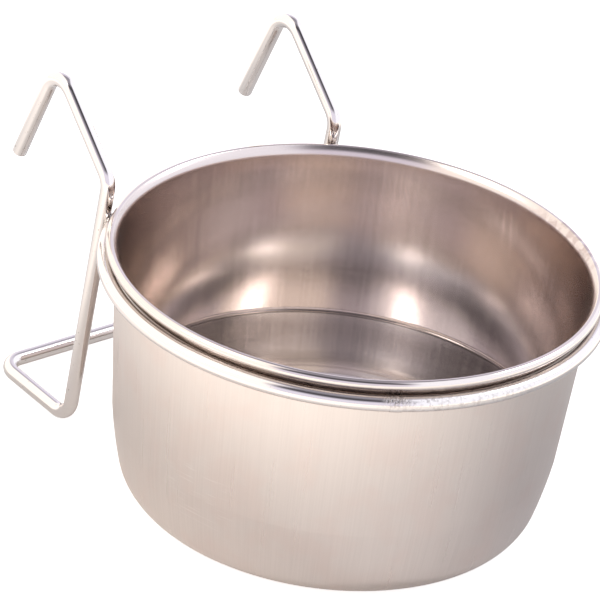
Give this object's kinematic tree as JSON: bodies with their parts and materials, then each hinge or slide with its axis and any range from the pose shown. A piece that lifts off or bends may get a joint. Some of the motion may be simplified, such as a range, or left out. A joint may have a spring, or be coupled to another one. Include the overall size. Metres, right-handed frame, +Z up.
{
  "type": "hook-on bird cage seed cup",
  "caption": "Round steel seed cup with a rolled rim that drops into a wire ring; a bent wire with two hooks hangs it on a cage and a low cross bar keeps it upright.",
  "frame": {"origin": "centre of the underside of the bowl's flat base", "axes": "+Z up along the bowl's axis, +Y to the cage that the cup hangs on, +X to the right seen from the front"},
  "size_m": [0.1, 0.1211, 0.073],
  "materials": {
    "bowl_sheet": "stainless sheet, satin brushed",
    "wire": "bright drawn steel wire",
    "weld_metal": "bare resistance weld, ground where it meets the eye"
  },
  "bodies": {
    "holder": {"support_ring": "wire", "hanger_wire": "wire", "left_cross_weld": "weld_metal", "right_cross_weld": "weld_metal", "ring_butt_weld": "weld_metal"},
    "bowl": {"bowl": "bowl_sheet"}
  },
  "joints": [
    {"name": "bowl_lift", "type": "slide", "parent": "holder", "child": "bowl", "axis": [0, 0, 1], "range_m": [0, 0.056]}
  ]
}
